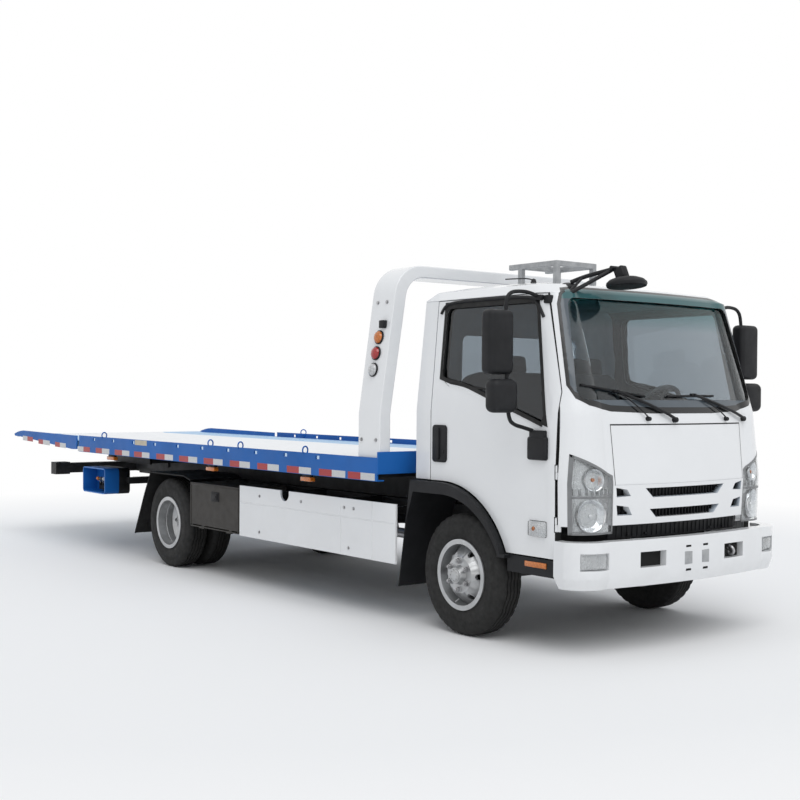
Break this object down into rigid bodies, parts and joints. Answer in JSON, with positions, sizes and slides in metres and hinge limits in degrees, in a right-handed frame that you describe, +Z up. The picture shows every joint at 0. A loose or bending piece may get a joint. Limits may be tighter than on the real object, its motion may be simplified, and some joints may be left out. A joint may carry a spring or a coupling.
{
  "type": "slide-bed tow truck",
  "caption": "Forward-control light tow truck with a tilting slide bed, a leaning gantry behind the cab, side guards, tool boxes and a wheel lift at the tail",
  "frame": {"origin": "on the ground under the middle of the overall length", "axes": "+X forward, +Y to the truck's left, +Z up"},
  "size_m": [8.1998, 2.49, 2.386],
  "materials": {
    "body_white": "white gloss paint",
    "bed_blue": "blue gloss paint",
    "deck_white": "white deck paint",
    "frame_black": "black chassis paint",
    "box_grey": "dark grey paint",
    "black_plastic": "grained black plastic",
    "tyre_rubber": "tyre rubber",
    "rim_silver": "silver paint",
    "steel_grey": "bare steel",
    "cast_grey": "cast iron",
    "chrome_rod": "chromed rod",
    "cab_pane": "tinted glass",
    "lamp_clear": "clear lamp lens",
    "lamp_red": "red lamp lens",
    "seat_cloth": "grey seat cloth",
    "dash_grey": "grained grey plastic"
  },
  "bodies": {
    "chassis": {"chassis_frame": "frame_black", "front_axle": "frame_black", "rear_axle": "frame_black", "leaf_springs": "frame_black", "drive_line": "cast_grey", "fuel_tank": "box_grey", "silencer": "steel_grey", "side_guards": "body_white", "tool_boxes": "box_grey", "rear_mudguards": "black_plastic", "control_boxes": "bed_blue", "rear_lamps": "lamp_red", "cab_floor": "body_white", "cab_rear": "body_white", "cab_roof": "body_white", "cab_front": "body_white", "hood_panel": "body_white", "grille": "black_plastic", "headlamps": "lamp_clear", "front_bumper": "body_white", "cab_glass": "cab_pane", "dashboard": "dash_grey", "steering_wheel": "dash_grey", "seats": "seat_cloth", "front_mudguards": "black_plastic", "lookdown_mirror": "black_plastic", "roof_frame": "steel_grey"},
    "right_door_body": {"right_door": "body_white", "right_door_glass": "cab_pane", "right_mirror": "black_plastic"},
    "left_door_body": {"left_door": "body_white", "left_door_glass": "cab_pane", "left_mirror": "black_plastic"},
    "right_knuckle_body": {"right_knuckle": "frame_black"},
    "left_knuckle_body": {"left_knuckle": "frame_black"},
    "front_right_wheel": {"front_right_tyre": "tyre_rubber", "front_right_rim": "rim_silver"},
    "front_left_wheel": {"front_left_tyre": "tyre_rubber", "front_left_rim": "rim_silver"},
    "rear_right_wheels": {"rear_right_tyres": "tyre_rubber", "rear_right_rims": "rim_silver"},
    "rear_left_wheels": {"rear_left_tyres": "tyre_rubber", "rear_left_rims": "rim_silver"},
    "right_lid": {"right_box_lid": "box_grey"},
    "left_lid": {"left_box_lid": "box_grey"},
    "tilt_frame_body": {"tilt_frame": "frame_black"},
    "tilt_barrel_pair": {"tilt_barrels": "frame_black"},
    "tilt_rod_pair": {"tilt_rods": "chrome_rod"},
    "bed": {"bed_frame": "frame_black", "bed_bearers": "frame_black", "bed_deck": "deck_white", "front_deck": "deck_white", "bed_rails": "bed_blue", "bed_header": "bed_blue", "bed_tail": "bed_blue", "gantry": "body_white", "winch": "steel_grey"},
    "winch_drum_body": {"winch_drum": "steel_grey"},
    "lift_boom_body": {"lift_boom": "frame_black"},
    "lift_stinger_body": {"lift_stinger": "frame_black"}
  },
  "joints": [
    {"name": "right_steer", "type": "hinge", "parent": "chassis", "child": "right_knuckle_body", "pos_m": [3, -0.69, 0.38], "axis": [0, 0, 1], "range_deg": [-38, 38]},
    {"name": "left_steer", "type": "hinge", "parent": "chassis", "child": "left_knuckle_body", "pos_m": [3, 0.69, 0.38], "axis": [0, 0, 1], "range_deg": [-38, 38]},
    {"name": "front_right_spin", "type": "hinge", "parent": "right_knuckle_body", "child": "front_right_wheel", "pos_m": [3, -0.83, 0.38], "axis": [0, 1, 0], "continuous": true},
    {"name": "front_left_spin", "type": "hinge", "parent": "left_knuckle_body", "child": "front_left_wheel", "pos_m": [3, 0.83, 0.38], "axis": [0, 1, 0], "continuous": true},
    {"name": "rear_right_spin", "type": "hinge", "parent": "chassis", "child": "rear_right_wheels", "pos_m": [-0.815, -0.768, 0.38], "axis": [0, 1, 0], "continuous": true},
    {"name": "rear_left_spin", "type": "hinge", "parent": "chassis", "child": "rear_left_wheels", "pos_m": [-0.815, 0.768, 0.38], "axis": [0, 1, 0], "continuous": true},
    {"name": "right_door_swing", "type": "hinge", "parent": "chassis", "child": "right_door_body", "pos_m": [3.8025, -0.89, 1], "axis": [0, 0, 1], "range_deg": [0, 70]},
    {"name": "left_door_swing", "type": "hinge", "parent": "chassis", "child": "left_door_body", "pos_m": [3.8025, 0.89, 1], "axis": [0, 0, -1], "range_deg": [0, 70]},
    {"name": "bed_tilt", "type": "hinge", "parent": "chassis", "child": "tilt_frame_body", "pos_m": [-2, 0, 0.8], "axis": [0, -1, 0], "range_deg": [0, 11.5]},
    {"name": "tilt_barrel_swing", "type": "hinge", "parent": "chassis", "child": "tilt_barrel_pair", "pos_m": [1.6, 0, 0.65], "axis": [0, 1, 0], "range_deg": [0, 10.98]},
    {"name": "tilt_rod_slide", "type": "slide", "parent": "tilt_barrel_pair", "child": "tilt_rod_pair", "axis": [-0.995, 0, 0.0995], "range_m": [0, 0.099]},
    {"name": "bed_slide", "type": "slide", "parent": "tilt_frame_body", "child": "bed", "axis": [-1, 0, 0], "range_m": [0, 2.9]},
    {"name": "lift_tilt", "type": "hinge", "parent": "tilt_frame_body", "child": "lift_boom_body", "pos_m": [-2.33, 0, 0.715], "axis": [0, 1, 0], "range_deg": [-15, 0]},
    {"name": "lift_extend", "type": "slide", "parent": "lift_boom_body", "child": "lift_stinger_body", "axis": [1, 0, 0], "range_m": [-0.6, 0]},
    {"name": "right_lid_drop", "type": "hinge", "parent": "chassis", "child": "right_lid", "pos_m": [0.02, -0.993, 0.394], "axis": [1, 0, 0], "range_deg": [0, 90]},
    {"name": "left_lid_drop", "type": "hinge", "parent": "chassis", "child": "left_lid", "pos_m": [0.02, 0.993, 0.394], "axis": [-1, 0, 0], "range_deg": [0, 90]},
    {"name": "winch_spin", "type": "hinge", "parent": "bed", "child": "winch_drum_body", "pos_m": [1.907, 0, 1.18], "axis": [0, 1, 0], "continuous": true}
  ],
  "couplings": [
    {"joint": "left_steer", "follows": "right_steer", "ratio": 1},
    {"joint": "tilt_barrel_swing", "follows": "bed_tilt", "ratio": 0.92899},
    {"joint": "tilt_rod_slide", "follows": "bed_tilt", "m_per_rad": 0.4885}
  ]
}
